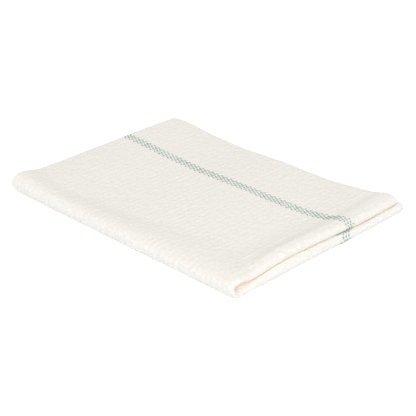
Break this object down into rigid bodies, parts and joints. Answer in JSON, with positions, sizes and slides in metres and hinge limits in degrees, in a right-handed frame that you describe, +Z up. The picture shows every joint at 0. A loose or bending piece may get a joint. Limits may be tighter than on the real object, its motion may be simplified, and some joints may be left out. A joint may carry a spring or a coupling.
{
  "type": "folded floor cloth",
  "caption": "Coarse cotton floor cloth with a woven wavy stripe along each long side and hemmed ends, folded crosswise and then lengthwise into a flat rectangular stack.",
  "frame": {"origin": "under the middle of the stack's outline, on the surface it lies on", "axes": "+X along the stripes, from the hems to the cross fold; +Y across, from the long fold to the woven edges; +Z up through the layers"},
  "size_m": [0.3566, 0.2576, 0.0231],
  "materials": {
    "cotton": "coarse off-white cotton weave, matt and slightly fuzzy, with soft slubs",
    "stripe_yarn": "sea-green cotton yarn woven in as wavy lines, matt"
  },
  "bodies": {
    "root": {"folded_cloth": "cotton"}
  },
  "joints": []
}
